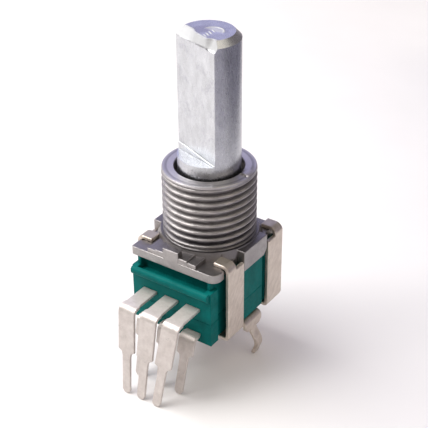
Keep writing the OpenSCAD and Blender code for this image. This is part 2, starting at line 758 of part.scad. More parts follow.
// The upper rotor carries the lug that meets the stop rib at both ends of the travel
module upper_rotor() color("#2a2a2c") rotate(shaft_turn) {
    stop_play = 0.5;
    lug_angle = (360 - travel) / 2 - rib_angle - stop_play;
    lug_in = rotor_r - rotor_rim;
    lug_out = cavity_r - turn_gap;
    top = plate_z - turn_gap;
    rotor(upper_rotor_z, flange_z);
    rotate(-90 - lug_angle) rotate_extrude(angle = 2 * lug_angle) translate([lug_in, upper_rotor_z])
        square([lug_out - lug_in, top - upper_rotor_z]);
}

bushing_plate();
shaft();
upper_housing();
lower_housing();
mounting_bracket();
upper_terminal_left();
upper_terminal_centre();
upper_terminal_right();
lower_terminal_left();
lower_terminal_centre();
lower_terminal_right();
upper_element_board();
upper_resistive_track();
upper_collector_ring();
upper_rotor();
upper_wiper();
lower_element_board();
lower_resistive_track();
lower_collector_ring();
lower_rotor();
lower_wiper();
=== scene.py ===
import bpy, bmesh, math
from mathutils import Vector, Matrix, noise

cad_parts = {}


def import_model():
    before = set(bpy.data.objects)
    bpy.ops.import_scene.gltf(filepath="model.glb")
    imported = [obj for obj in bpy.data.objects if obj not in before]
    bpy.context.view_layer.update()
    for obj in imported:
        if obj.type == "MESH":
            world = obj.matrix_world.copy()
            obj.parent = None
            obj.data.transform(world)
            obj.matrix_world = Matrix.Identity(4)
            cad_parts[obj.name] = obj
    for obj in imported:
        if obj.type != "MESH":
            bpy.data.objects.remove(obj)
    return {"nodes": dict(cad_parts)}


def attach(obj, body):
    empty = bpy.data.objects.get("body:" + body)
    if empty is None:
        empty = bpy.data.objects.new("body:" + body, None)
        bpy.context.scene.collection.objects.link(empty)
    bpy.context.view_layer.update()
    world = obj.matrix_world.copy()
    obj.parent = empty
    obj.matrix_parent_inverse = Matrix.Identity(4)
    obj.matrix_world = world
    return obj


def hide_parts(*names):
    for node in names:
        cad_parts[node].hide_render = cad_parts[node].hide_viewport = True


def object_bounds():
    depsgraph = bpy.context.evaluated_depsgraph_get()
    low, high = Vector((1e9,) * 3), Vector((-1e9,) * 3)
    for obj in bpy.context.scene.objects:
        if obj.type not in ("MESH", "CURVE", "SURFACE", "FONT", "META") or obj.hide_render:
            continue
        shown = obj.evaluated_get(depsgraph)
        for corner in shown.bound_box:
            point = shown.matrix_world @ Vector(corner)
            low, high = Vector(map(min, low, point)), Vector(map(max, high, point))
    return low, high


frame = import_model()
cad_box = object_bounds()
nodes = frame["nodes"]

# One millimetre in the frame's metres. All sizes below are in millimetres, unless they say otherwise
MM = 0.001

# Casting: thread, round nose and mouth of the bushing, and the undercut at its foot
PITCH = 0.75
CREST = 4.5
DEPTH = 0.40
THREAD_PHASE = 0.33
NOSE_Z = 7.0
NOSE_CHAMFER = 0.45
# Middle, half width and rise of the rounded nose between the mouth and the first crest
LIP_R = 3.89
LIP_HALF = 0.59
LIP_RISE = 0.42
# Height down to which the nose is worn
WORN_Z = NOSE_Z - 0.2
MOUTH_R = 3.3
MOUTH_FLOOR = 5.4
RELIEF_R = 4.3
RELIEF_TOP = 0.45
# Radius out to which the wall's foot fills the undercut, and radii just outside the inner and the
# outer edge of the flat seat
SEAT_R = 4.56
SEAT_INSIDE_R = 4.6
SEAT_OUTSIDE_R = 4.85
# Foot of the cone that carries the seat
CONE_FOOT_R = 5.1
# Heights between which the plate lies with its block, steps and wings
DECK_TOP = 0.36
WING_FOOT = -2.3

# Shaft, in its own frame, whose flat looks to -Y
SHAFT_R = 3.0
SHAFT_TOP = 20.0
TIP_R = 2.45
FLAT_D = 1.5
FOOT_Z = 8.0
TURN = math.radians(-15)
# Height of the hidden flange's top, where the solid's own lower end takes over
SHOULDER_Z = -0.7
# Rise of the thin land towards its high side
LAND_RISE = 0.66
# Height at which the torn bevel leaves the flat, at the left edge, and its fall a millimetre
BEVEL_Z = 19.3
BEVEL_FALL = 0.05
# Places across the flat, each with the distance of the end face's torn edge from the axis there
LIP = [(-2.4, 0.72), (-1.3, 0.78), (-0.2, 1.18), (1.3, 1.33), (1.9, 0.98), (2.4, 0.97)]
# Middle of the end face's rings of points
END_CENTRE = (0.0, 0.3)
# Middles of the ridges on the end face, half their length and width, and the direction along them
RIDGES = ((0.74, -0.96), (0.65, -0.59), (0.53, -0.18), (0.41, 0.27))
RIDGE_HALF = (0.34, 0.06)
RIDGE_ALONG = (0.951, -0.308)
# Middle, radius and half width of the crescent on the end face, and the direction that it bulges to
CRESCENT = (0.44, 0.20)
CRESCENT_R = 0.94
CRESCENT_HALF = 0.08
CRESCENT_TO = (-0.23, 0.97)
# Height of a mark, and the height that no mark passes
MARK_RISE = 0.045
MARK_LIMIT = 0.075

# Camera: angles in degrees, distance, shift sideways and upward, focal length and width of the
# photograph in its pixels, and the sensor's width
AZIMUTH = 34.78
ELEVATION = 31.63
ROLL = -0.45
DISTANCE = 103.18
SHIFT = 0.401
RISE = 1.321
FOCAL_PX = 1078.7
PHOTO_PX = 428
SENSOR = 36
CLIP_START_M = 0.001

# Stage
FLOOR_Z = cad_box[0][2] / MM
FLOOR_GAP = 0.005
FLOOR_R = 900


# Helpers

def smoothstep(a, b, x):
    """Eased share from 0 at a to 1 at b, which may lie below a."""
    t = min(1.0, max(0.0, (x - a) / (b - a)))
    return t * t * (3 - 2 * t)


def between(points, x):
    """Height of a line through given points, eased between them."""
    for (x0, y0), (x1, y1) in zip(points, points[1:]):
        if x <= x1:
            return y0 + (y1 - y0) * smoothstep(x0, x1, x)
    return points[-1][1]


def rough_noise(x, y, z):
    return noise.fractal(Vector((x, y, z)), 1.0, 2.0, 3)


def place_of(vertex):
    """Distance from the shaft's axis and height of a vertex, in millimetres."""
    return math.hypot(vertex.co.x, vertex.co.y) / MM, vertex.co.z / MM


def ring_faces(rings, columns, rising):
    """Quads between rings of points. On a wall they face outward, if rising says which way it goes."""
    faces = []
    for i in range(rings - 1):
        this, other = i * columns, (i + 1) * columns
        for c in range(columns):
            d = (c + 1) % columns
            if rising:
                faces.append((this + c, this + d, other + d, other + c))
            else:
                faces.append((this + c, other + c, other + d, this + d))
    return faces


def mesh_from(name, verts, faces):
    """Mesh from points in millimetres."""
    mesh = bpy.data.meshes.new(name)
    mesh.from_pydata([(x * MM, y * MM, z * MM) for x, y, z in verts], [], faces)
    mesh.update()
    return mesh


def mesh_of(name, bm):
    mesh = bpy.data.meshes.new(name)
    bm.to_mesh(mesh)
    bm.free()
    return mesh


def add_values(mesh, name, values):
    """Attribute with one number for each vertex."""
    mesh.attributes.new(name, "FLOAT", "POINT").data.foreach_set("value", values)


def clean_copy(node):
    bm = bmesh.new()
    bm.from_mesh(nodes[node].data)
    bmesh.ops.remove_doubles(bm, verts=bm.verts, dist=1e-7)
    return bm


def soften(bm, width, keep=lambda edge: True):
    """Chamfers the sharp convex edges that keep() accepts."""
    sharp = math.radians(30)
    bmesh.ops.dissolve_limit(bm, angle_limit=math.radians(0.6), verts=bm.verts, edges=bm.edges)
    convex = [e for e in bm.edges if e.is_manifold and e.is_convex]
    edges = [e for e in convex if e.calc_face_angle(0) > sharp and keep(e)]
    bmesh.ops.bevel(bm, geom=edges, offset=width * MM, offset_type="OFFSET", segments=1,
                    profile=0.5, affect="EDGES", clamp_overlap=False)
    bmesh.ops.triangulate(bm, faces=[f for f in bm.faces if len(f.verts) > 4])


def weigh_normals(mesh, sharp):
    """Smooth normals weighed by area, so that large plane faces stay plane beside small chamfers."""
    limit = math.cos(math.radians(sharp))
    # a trace of the face's own normal keeps the sum from being zero where the areas are
    trace = 1e-12
    normals = [f.normal.copy() for f in mesh.polygons]
    areas = [f.area for f in mesh.polygons]
    around = [[] for v in mesh.vertices]
    for face in mesh.polygons:
        for v in face.vertices:
            around[v].append(face.index)
    corners = []
    for face in mesh.polygons:
        own = normals[face.index]
        for v in face.vertices:
            total = own * trace
            for i in around[v]:
                if own.dot(normals[i]) > limit:
                    total += normals[i] * areas[i]
            corners.append(total.normalized())
    mesh.normals_split_custom_set(corners)


def link_object(name, data):
    obj = bpy.data.objects.new(name, data)
    bpy.context.scene.collection.objects.link(obj)
    return obj


def new_piece(name, mesh, body, material, replaced, sharp):
    """Visible piece on a body in place of CAD nodes. Edges over sharp degrees stay sharp."""
    mesh.validate()
    mesh.shade_smooth()
    weigh_normals(mesh, sharp)
    obj = link_object(name, mesh)
    mesh.materials.append(material)
    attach(obj, body)
    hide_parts(*replaced)


# Node trees

class Nodes:
    """Calls that build nodes in a tree."""

    def __init__(self, tree):
        self.tree = tree
        self.tree.nodes.clear()

    def node(self, kind, **props):
        n = self.tree.nodes.new(kind)
        for key, value in props.items():
            setattr(n, key, value)
        return n

    def link(self, a, b):
        self.tree.links.new(a, b)

    def put(self, value, socket):
        if isinstance(value, (int, float, tuple)):
            socket.default_value = value
        else:
            self.link(value, socket)

    def ramp(self, value, stops):
        """Ramp through stops of a position and a colour, or a position and a grey."""
        n = self.node("ShaderNodeValToRGB")
        while len(n.color_ramp.elements) < len(stops):
            n.color_ramp.elements.new(0.5)
        for element, (at, colour) in zip(n.color_ramp.elements, stops):
            element.position = at
            if isinstance(colour, (int, float)):
                colour = (colour, colour, colour)
            element.color = (*colour, 1)
        self.link(value, n.inputs[0])
        return n.outputs[0]

    def math(self, op, a, b=0.0, c=0.0, clamp=False):
        n = self.node("ShaderNodeMath", operation=op, use_clamp=clamp)
        for value, socket in zip((a, b, c), n.inputs):
            self.put(value, socket)
        return n.outputs[0]

    def mix(self, factor, a, b, blend="MIX"):
        """Mix of two colours, each a socket or three numbers."""
        n = self.node("ShaderNodeMix", data_type="RGBA", blend_type=blend)
        self.put(factor, n.inputs[0])
        for value, socket in ((a, n.inputs[6]), (b, n.inputs[7])):
            self.put((*value, 1) if isinstance(value, tuple) else value, socket)
        return n.outputs[2]


class Shader(Nodes):
    """A node material, with positions in millimetres of the part's frame."""

    def __init__(self, name, **fixed):
        self.mat = bpy.data.materials.new(name)
        self.mat.use_nodes = True
        super().__init__(self.mat.node_tree)
        self.out = self.node("ShaderNodeOutputMaterial")
        self.bsdf = self.node("ShaderNodeBsdfPrincipled")
        self.link(self.bsdf.outputs[0], self.out.inputs["Surface"])
        for key, value in fixed.items():
            self.bsdf.inputs[key.replace("_", " ")].default_value = value
        self.coord = self.node("ShaderNodeTexCoord")
        self.place = self.scaled(self.coord.outputs["Object"], (1 / MM, 1 / MM, 1 / MM))

    def scaled(self, vector, factors):
        n = self.node("ShaderNodeVectorMath", operation="MULTIPLY")
        self.link(vector, n.inputs[0])
        n.inputs[1].default_value = factors
        return n.outputs[0]

    def turned(self, degrees, axis):
        """Position turned about an axis, for grain that runs at an angle."""
        n = self.node("ShaderNodeVectorRotate", rotation_type="AXIS_ANGLE")
        self.link(self.place, n.inputs["Vector"])
        n.inputs["Axis"].default_value = axis
        n.inputs["Angle"].default_value = math.radians(degrees)
        return n.outputs[0]

    def noise(self, scale, detail, rough, stretch=(1, 1, 1), distortion=0.0, vector=None):
        n = self.node("ShaderNodeTexNoise")
        self.link(self.scaled(vector or self.place, stretch), n.inputs["Vector"])
        n.inputs["Scale"].default_value = scale
        n.inputs["Detail"].default_value = detail
        n.inputs["Roughness"].default_value = rough
        n.inputs["Distortion"].default_value = distortion
        return n.outputs["Fac"]

    def bump(self, height, strength, distance, normal=None):
        """Bump over the normal of another bump. The distance is in metres."""
        n = self.node("ShaderNodeBump")
        n.inputs["Strength"].default_value = strength
        n.inputs["Distance"].default_value = distance
        self.link(height, n.inputs["Height"])
        if normal:
            self.link(normal, n.inputs["Normal"])
        return n.outputs[0]

    def height(self):
        n = self.node("ShaderNodeSeparateXYZ")
        self.link(self.place, n.inputs[0])
        return n.outputs["Z"]

    def radius(self):
        """Distance from the shaft's axis."""
        n = self.node("ShaderNodeVectorMath", operation="LENGTH")
        self.link(self.scaled(self.place, (1, 1, 0)), n.inputs[0])
        return n.outputs["Value"]

    def span(self, value, low, high):
        """0 at low, 1 at high, with a soft rise."""
        n = self.node("ShaderNodeMapRange", interpolation_type="SMOOTHSTEP")
        self.put(value, n.inputs["Value"])
        n.inputs["From Min"].default_value = low
        n.inputs["From Max"].default_value = high
        return n.outputs["Result"]

    def fall(self, value, low, high):
        """1 at low, 0 at high."""
        return self.math("SUBTRACT", 1.0, self.span(value, low, high))

    def upward(self):
        """1 on faces that look up, 0 on walls."""
        n = self.node("ShaderNodeSeparateXYZ")
        self.link(self.coord.outputs["Normal"], n.inputs[0])
        return self.span(n.outputs["Z"], 0.55, 0.95)

    def attribute(self, name):
        return self.node("ShaderNodeAttribute", attribute_name=name).outputs["Fac"]

    def finish(self, colour, rough=None, normal=None, metallic=None):
        values = {"Base Color": colour, "Roughness": rough, "Normal": normal, "Metallic": metallic}
        for key, value in values.items():
            if value is not None:
                self.link(value, self.bsdf.inputs[key])
        return self.mat


# Materials

def zinc():
    s = Shader("zinc_casting", Metallic=1.0)
    blotch = s.noise(0.55, 4, 0.6)
    grain = s.noise(8.0, 5, 0.7)
    z = s.height()
    colour = s.ramp(blotch, [(0.3, (0.33, 0.312, 0.307)),
                             (0.55, (0.39, 0.369, 0.363)),
                             (0.75, (0.45, 0.425, 0.415))])
    colour = s.mix(s.ramp(grain, [(0.42, 0.0), (0.72, 0.5)]), colour, (0.28, 0.265, 0.26))
    # painted highlight: the nose is painted lighter
    nose = s.math("MULTIPLY", s.span(z, NOSE_Z - 0.55, NOSE_Z - 0.3), 0.55)
    colour = s.mix(nose, colour, (0.66, 0.64, 0.66))
    # painted shade: the thread roots are darker, more so near the foot, and the thread's foot above the
    # deck is darker
    low = s.math("MULTIPLY_ADD", s.fall(z, 0.0, 3.0), 0.5, 0.5)
    root_shade = s.math("MULTIPLY", s.span(s.attribute("valley"), 0.08, 0.8), low)
    deck = s.fall(z, DECK_TOP, DECK_TOP + 0.02)
    # painted shade on the thread's foot, just above the deck
    foot = s.math("MULTIPLY", s.math("SUBTRACT", 1.0, deck), s.fall(z, 0.3, 2.6))
    # painted shade on the deck, more so round the bushing, and on all faces that look up
    near = s.fall(s.math("ADD", s.radius(), s.math("MULTIPLY", blotch, 1.2)), 5.0, 7.0)
    deck_shade = s.math("MULTIPLY_ADD", near, 0.2, s.math("MULTIPLY", s.upward(), 0.45))
    painted_shade = s.math("ADD", root_shade, s.math("MULTIPLY", deck, deck_shade), clamp=True)
    # the painted shade on the thread's foot is added in
    painted_shade = s.math("MULTIPLY_ADD", foot, 0.3, painted_shade, clamp=True)
    # painted shade darkens the colour towards a near black
    colour = s.mix(s.math("MULTIPLY", painted_shade, 0.82), colour, (0.06, 0.055, 0.065))
    rough = s.ramp(s.noise(2.5, 4, 0.6), [(0.3, 0.32), (0.7, 0.46)])
    skin = s.bump(grain, 0.6, 0.00005)
    skin = s.bump(s.noise(1.6, 3, 0.5), 0.4, 0.00008, skin)
    return s.finish(colour, rough, skin)


def aluminium():
    """Brushed and scuffed metal. The tone is how white and torn it is, and the end shadow is painted shade
    on one side of the end face.
    """
    s = Shader("turned_aluminium", Metallic=1.0)
    tone = s.attribute("tone")
    cloud = s.noise(0.9, 5, 0.62, stretch=(1.6, 1.6, 0.7))
    brush = s.noise(9.0, 3, 0.6, stretch=(0.25, 1, 1), vector=s.turned(38, (0, 1, 0)))
    streak = s.noise(14.0, 3, 0.6, stretch=(1, 1, 0.12))
    scuff = s.ramp(s.noise(0.75, 5, 0.7, distortion=0.8), [(0.54, 0.0), (0.66, 0.65)])
    scuff = s.math("MULTIPLY", scuff, s.ramp(brush, [(0.35, 0.2), (0.65, 1.0)]))
    colour = s.ramp(cloud, [(0.3, (0.49, 0.499, 0.517)),
                            (0.55, (0.565, 0.576, 0.60)),
                            (0.8, (0.65, 0.662, 0.687))])
    colour = s.mix(scuff, colour, (0.36, 0.36, 0.41))
    colour = s.mix(s.math("MULTIPLY", tone, 1.3, clamp=True), colour, (0.60, 0.61, 0.62))
    # painted shade: a darker patch on one side of the end face
    colour = s.mix(s.attribute("end_shadow"), colour, (0.40, 0.39, 0.42))
    rough = s.math("ADD", s.ramp(streak, [(0.3, 0.24), (0.7, 0.34)]), s.math("MULTIPLY", tone, 0.25))
    metallic = s.math("MULTIPLY_ADD", tone, -1.4, 1.0, clamp=True)
    skin = s.bump(brush, 0.25, 0.00004)
    skin = s.bump(streak, 0.1, 0.00003, skin)
    return s.finish(colour, rough, skin, metallic)


def plated_sheet():
    s = Shader("plated_sheet", Metallic=0.75)
    mottle = s.noise(1.5, 5, 0.65, stretch=(1, 1.4, 0.6), vector=s.turned(35, (1, 0, 0)))
    fine = s.noise(16.0, 3, 0.6)
    colour = s.ramp(mottle, [(0.3, (0.56, 0.485, 0.42)),
                             (0.5, (0.66, 0.58, 0.505)),
                             (0.72, (0.76, 0.68, 0.605))])
    # painted shade: faces that look up, such as the tabs' tops, are darker
    colour = s.mix(s.math("MULTIPLY", s.upward(), 0.45), colour, (0.17, 0.165, 0.13))
    rough = s.ramp(fine, [(0.3, 0.36), (0.7, 0.46)])
    skin = s.bump(s.noise(2.2, 3, 0.5), 0.3, 0.00006)
    skin = s.bump(fine, 0.15, 0.00002, skin)
    return s.finish(colour, rough, skin)


def tinned():
    s = Shader("tinned_lead", Metallic=0.45)
    cloud = s.noise(1.5, 5, 0.65)
    fine = s.noise(12.0, 4, 0.65)
    colour = s.ramp(cloud, [(0.3, (0.60, 0.55, 0.515)),
                            (0.5, (0.67, 0.615, 0.58)),
                            (0.72, (0.74, 0.69, 0.65))])
    # thin scratches across the strips, left by the forming tool
    scratch = s.ramp(s.noise(2.2, 4, 0.7, stretch=(0.22, 3.2, 0.8)), [(0.655, 0.0), (0.69, 0.6)])
    colour = s.mix(scratch, colour, (0.27, 0.265, 0.24))
    rough = s.ramp(cloud, [(0.3, 0.5), (0.7, 0.36)])
    skin = s.bump(cloud, 0.35, 0.0001)
    skin = s.bump(fine, 0.25, 0.00003, skin)
    return s.finish(colour, rough, skin)


def green_plastic(name, shade):
    s = Shader(name, Metallic=0.0, Specular_IOR_Level=0.09)
    cloud = s.noise(0.9, 4, 0.6)
    fine = s.noise(22.0, 3, 0.6)
    low = tuple(c * shade * 0.84 for c in (0.0012, 0.152, 0.142))
    high = tuple(c * shade * 1.12 for c in (0.0012, 0.160, 0.148))
    colour = s.ramp(cloud, [(0.3, low), (0.7, high)])
    rough = s.ramp(s.noise(3.0, 3, 0.5), [(0.3, 0.48), (0.7, 0.6)])
    skin = s.bump(fine, 0.2, 0.00002)
    skin = s.bump(s.noise(1.2, 2, 0.5), 0.25, 0.0001, skin)
    return s.finish(colour, rough, skin)


def plain(name, low, high, rough, metallic=0.0, scale=4.0):
    """Material of a hidden piece: fine grain between two colours."""
    s = Shader(name, Metallic=metallic)
    grain = s.noise(scale, 4, 0.6)
    colour = s.ramp(grain, [(0.3, low), (0.7, high)])
    skin = s.bump(s.noise(scale * 5, 3, 0.6), 0.2, 0.00003)
    return s.finish(colour, s.ramp(grain, [(0.3, rough), (0.7, min(1.0, rough * 1.25))]), skin)


def matt(name, scale, low, high):
    """Shader of the floor and the cards, still open to more nodes."""
    s = Shader(name, Roughness=0.9, Specular_IOR_Level=0.1)
    s.finish(s.ramp(s.noise(scale, 2, 0.5), [(0.3, low), (0.7, high)]))
    return s


# Casting with its thread

def thread_depth(turn):
    """Depth below the crest, from 0 to 1, at a number of turns of the rounded V."""
    from_root = abs((turn % 1.0) - 0.5) * 2
    return 1.0 - smoothstep(0.10, 0.88, from_root)


def cone_r(z):
    """Radius that the crests keep within at a height, with the chamfer at the nose."""
    return CREST - 0.5 * max(0.0, z - (NOSE_Z - NOSE_CHAMFER))


def thread_r(a, z):
    """Radius of the threaded wall. The thread fades out at the foot."""
    depth = DEPTH * thread_depth(z / PITCH - a / (2 * math.pi) + THREAD_PHASE)
    depth *= smoothstep(-0.05, 0.3, z)
    rough = 0.012 * rough_noise(math.cos(a) * 9, math.sin(a) * 9, z * 3)
    return min(CREST - depth + rough, cone_r(z))


def bushing_wall():
    """Outer wall of the bushing, from the mouth over the nose and down the thread to the seat."""
    columns, nose_steps, rows_a_turn = 240, 12, 16
    wear = 0.012
    rows = [("lip", MOUTH_R, MOUTH_FLOOR), ("lip", MOUTH_R, NOSE_Z - 0.4)]
    for k in range(nose_steps + 1):
        a = math.pi * k / nose_steps
        rise = LIP_RISE * math.sin(a) ** 0.8
        rows.append(("lip", LIP_R - LIP_HALF * math.cos(a), NOSE_Z - LIP_RISE + rise))
    z = NOSE_Z - 0.46
    while z > 0.0:
        rows.append(("thread", None, z))
        z -= PITCH / rows_a_turn
    rows += [("foot", CREST, 0.0), ("foot", SEAT_R, 0.0)]
    verts = []
    for kind, radius, z in rows:
        for c in range(columns):
            a = 2 * math.pi * c / columns
            r = thread_r(a, z) if kind == "thread" else radius
            if kind == "lip" and z > WORN_Z:
                # the wear adds up from column to column, until the ring is down to WORN_Z
                z += wear * rough_noise(math.cos(a) * 4, math.sin(a) * 4, 5.1) - wear / 2
            verts.append((r * math.cos(a), r * math.sin(a), z))
    return mesh_from("casting_wall", verts, ring_faces(len(rows), columns, rising=False))


def casting_body():
    """The solid without the bushing's outer wall, its mouth and the undercut, and with worn edges."""
    bm = clean_copy("bushing_plate")
    near = 0.02

    def on(places, radius):
        return all(abs(r - radius) < near for r, z in places)

    def outside(r, z):
        """Places on the bushing's outer wall, its chamfer and its nose."""
        if z > NOSE_Z - 0.01:
            return r > MOUTH_R - near
        return z > RELIEF_TOP - 0.05 and r > CREST - NOSE_CHAMFER - near

    def replaced(face):
        places = [place_of(v) for v in face.verts]
        mouth = on(places, MOUTH_R) and max(z for r, z in places) > MOUTH_FLOOR + 0.6
        return on(places, RELIEF_R) or mouth or all(outside(r, z) for r, z in places)

    def worn(edge):
        """Edges of the plate, its block, steps and wings, but not those of the seat and its cone."""
        places = [place_of(v) for v in edge.verts]
        radii = [r for r, z in places]
        seat = max(radii) < SEAT_OUTSIDE_R or on(places, CONE_FOOT_R)
        plate = all(WING_FOOT < z < DECK_TOP for r, z in places)
        return plate and min(radii) > SEAT_INSIDE_R and not seat

    bmesh.ops.delete(bm, geom=[f for f in bm.faces if replaced(f)], context="FACES")
    soften(bm, 0.045, worn)
    return bm


def casting(material):
    wall = bushing_wall()
    bm = casting_body()
    bm.from_mesh(wall)
    mesh = mesh_of("casting", bm)
    bpy.data.meshes.remove(wall)
    new_piece("casting", mesh, "body", material, ("bushing_plate",), 25)

    def valley(vertex):
        """How deep a vertex lies in the thread, from 0 to 1."""
        r, z = place_of(vertex)
        if 0.0 < z < NOSE_Z - 0.1 and r > 4.0:
            return min(1.0, max(0.0, (cone_r(z) - r) / DEPTH))
        return 0.0
    add_values(mesh, "valley", [valley(v) for v in mesh.vertices])


# Shaft

def tip_r(z):
    """Radius of the round part, with the chamfer at the tip."""
    return SHAFT_R - max(0.0, z - (SHAFT_TOP - (SHAFT_R - TIP_R)))


def land_rise(x):
    """Rise over the foot of the thin land that the cutter left at the foot of the flat."""
    return LAND_RISE * smoothstep(3.4, -3.4, x)


def flat_distance(z, x):
    """Distance of the milled face from the axis, with the torn bevel at the top."""
    foot = BEVEL_Z - BEVEL_FALL * (x - LIP[0][0])
    rise = (z - foot) / (SHAFT_TOP - foot)
    if rise <= 0:
        return FLAT_D
    ripple = 0.02 * rough_noise(x * 4, z * 7, 1.3) * smoothstep(0.0, 0.2, rise) * smoothstep(1.0, 0.8, rise)
    return FLAT_D + (between(LIP, x) - FLAT_D) * rise ** 0.8 + ripple


def end_marks(x, y):
    """Height, tone and painted shadow of the end face: the lip, the ridges, the crescent and a dark patch
    of painted shade.
    """
    inside = between(LIP, x) + y
    height = 0.03 * math.exp(-((inside - 0.1) / 0.1) ** 2)
    tone = 0.55 * smoothstep(0.22, 0.04, inside)
    for cx, cy in RIDGES:
        dx, dy = x - cx, y - cy
        along = RIDGE_ALONG[0] * dx + RIDGE_ALONG[1] * dy
        across = RIDGE_ALONG[0] * dy - RIDGE_ALONG[1] * dx
        ridge = math.exp(-(along / RIDGE_HALF[0]) ** 4 - (across / RIDGE_HALF[1]) ** 2)
        height += MARK_RISE * ridge
        tone = max(tone, 0.8 * ridge)
    dx, dy = x - CRESCENT[0], y - CRESCENT[1]
    reach = math.hypot(dx, dy)
    facing = smoothstep(-0.1, 0.5, (dx * CRESCENT_TO[0] + dy * CRESCENT_TO[1]) / max(reach, 0.01))
    crescent = math.exp(-((reach - CRESCENT_R) / CRESCENT_HALF) ** 2) * facing
    height += MARK_RISE * crescent
    tone = max(tone, 0.8 * crescent, 0.3 * facing * smoothstep(CRESCENT_R, CRESCENT_R - 0.1, reach))
    # fine turning marks near the rim
    turned = math.hypot(x, y)
    height += 0.004 * math.sin(turned * 34) * smoothstep(1.2, 1.6, turned)
    # painted shade: a darker patch on the end face's left side
    end_shadow = 0.75 * smoothstep(1.1, 0.5, math.hypot(x + 0.6, y + 0.15)) * (1 - tone)
    return min(height, MARK_LIMIT), tone, end_shadow


def flat_edges(z, distance):
    """Sideways places of the flat's two edges, and the turns between which the section is round."""
    ends = []
    for side in (-1, 1):
        # two steps, because the distance depends on the place
        x = 2.5 * side
        for step in range(2):
            plane = min(distance(x), tip_r(z))
            x = side * math.sqrt(max(0.0, tip_r(z) ** 2 - plane ** 2))
        ends.append((x, math.atan2(x, plane)))
    (left, left_turn), (right, right_turn) = ends
    return left, right, right_turn, 2 * math.pi + left_turn


class ShaftRings:
    """Rings of points from the shoulder to the middle of the end face, with a tone and a painted end shadow
    each.
    """

    FLAT_COLUMNS = 96
    ROUND_COLUMNS = 112
    COLUMNS = FLAT_COLUMNS + ROUND_COLUMNS

    def __init__(self):
        self.verts = []
        self.tones = []
        self.end_shadows = []

    def add(self, vertex, tone, end_shadow=0.0):
        self.verts.append(vertex)
        self.tones.append(tone)
        self.end_shadows.append(end_shadow)

    def row(self, z, distance, tone=0.0, rise=lambda x: 0.0):
        """One ring: distance(x) is that of the flat side, which has the tone, and rise(x) lifts points."""
        left, right, start, end = flat_edges(z, distance)
        for c in range(self.FLAT_COLUMNS):
            x = left + (right - left) * c / self.FLAT_COLUMNS
            self.add((x, -distance(x), z + rise(x)), tone)
        for c in range(self.ROUND_COLUMNS):
            share = c / self.ROUND_COLUMNS
            a = start + (end - start) * c / self.ROUND_COLUMNS
            x, y = tip_r(z) * math.sin(a), -tip_r(z) * math.cos(a)
            beside_flat = smoothstep(0.5, 0.0, share * (1 - share) * 8)
            self.add((x, y, z + rise(x) * beside_flat), 0.0)

    def end_face(self, rings):
        """Rings towards END_CENTRE, with the marks."""
        left, right, start, end = flat_edges(SHAFT_TOP, lambda x: between(LIP, x))
        rim = []
        for c in range(self.FLAT_COLUMNS):
            x = left + (right - left) * c / self.FLAT_COLUMNS
            rim.append((x, -between(LIP, x)))
        for c in range(self.ROUND_COLUMNS):
            a = start + (end - start) * c / self.ROUND_COLUMNS
            rim.append((TIP_R * math.sin(a), -TIP_R * math.cos(a)))
        for k in range(rings):
            share = 1 - k / rings
            for x, y in rim:
                px = END_CENTRE[0] + (x - END_CENTRE[0]) * share
                py = END_CENTRE[1] + (y - END_CENTRE[1]) * share
                height, tone, end_shadow = end_marks(px, py)
                self.add((px, py, SHAFT_TOP + height), tone, end_shadow)

    def mesh(self):
        """Mesh of the rings, closed at the middle of the end face and turned as in the photograph."""
        rows = len(self.verts) // self.COLUMNS
        faces = ring_faces(rows, self.COLUMNS, rising=True)
        last, middle = (rows - 1) * self.COLUMNS, len(self.verts)
        self.add((*END_CENTRE, SHAFT_TOP), 0.0)
        for c in range(self.COLUMNS):
            faces.append((last + c, last + (c + 1) % self.COLUMNS, middle))
        turn = Matrix.Rotation(TURN, 3, "Z")
        mesh = mesh_from("shaft_top", [tuple(turn @ Vector(v)) for v in self.verts], faces)
        add_values(mesh, "tone", self.tones)
        add_values(mesh, "end_shadow", self.end_shadows)
        return mesh


def shaft_rings():
    rings = ShaftRings()
    # the round part below the foot
    for z in (SHOULDER_Z, 3.0, 5.4, 6.6, 7.4, 7.8, FOOT_Z - 0.04):
        rings.row(z, lambda x: SHAFT_R - 0.0005)
    # the ledge with its rounded lip, and the thin land: height over the foot, distance of the flat
    # side, tone and share of the land's rise
    for height, distance, tone, share in (
            (-0.012, SHAFT_R - 0.02, 0.0, 0.0),
            (0.0, SHAFT_R - 0.07, 0.0, 0.0),
            (0.001, FLAT_D + 0.2, 0.0, 0.0),
            (0.01, FLAT_D + 0.11, 0.0, 0.0),
            (0.03, FLAT_D + 0.1, 0.0, 0.0),
            (0.06, FLAT_D + 0.1, 0.0, 0.5),
            (0.08, FLAT_D + 0.1, 0.0, 1.0),
            (0.11, FLAT_D + 0.02, 0.5, 1.0),
            (0.15, FLAT_D, 0.0, 1.0)):
        rings.row(FOOT_Z + height, lambda x: distance, tone, lambda x: share * land_rise(x))
    # the milled plane, faintly wavy
    z = 9.0
    while z < 18.9:
        rings.row(z, lambda x: FLAT_D + 0.007 * rough_noise(x, z * 1.1, 3.7))
        z += 0.3
    # the bevel over the flat and the chamfer round the rest
    for z in (19.0, 19.06, 19.12, 19.18, 19.24, 19.3, 19.38, 19.45, 19.55, 19.7, 19.85, 19.96):
        rings.row(z, lambda x: flat_distance(z, x), 0.7 * smoothstep(19.15, 19.3, z))
    rings.end_face(60)
    return rings.mesh()


def shaft(material):
    """The rings over the solid's own lower end, which is hidden."""
    bm = clean_copy("shaft")
    cut = []
    for face in bm.faces:
        heights = [v.co.z / MM for v in face.verts]
        if min(heights) > SHOULDER_Z - 0.01 and max(heights) > SHOULDER_Z + 0.01:
            cut.append(face)
    bmesh.ops.delete(bm, geom=cut, context="FACES")
    bm.from_mesh(shaft_rings())
    new_piece("shaft_piece", mesh_of("shaft_piece", bm), "rotor_shaft", material, ("shaft",), 28)


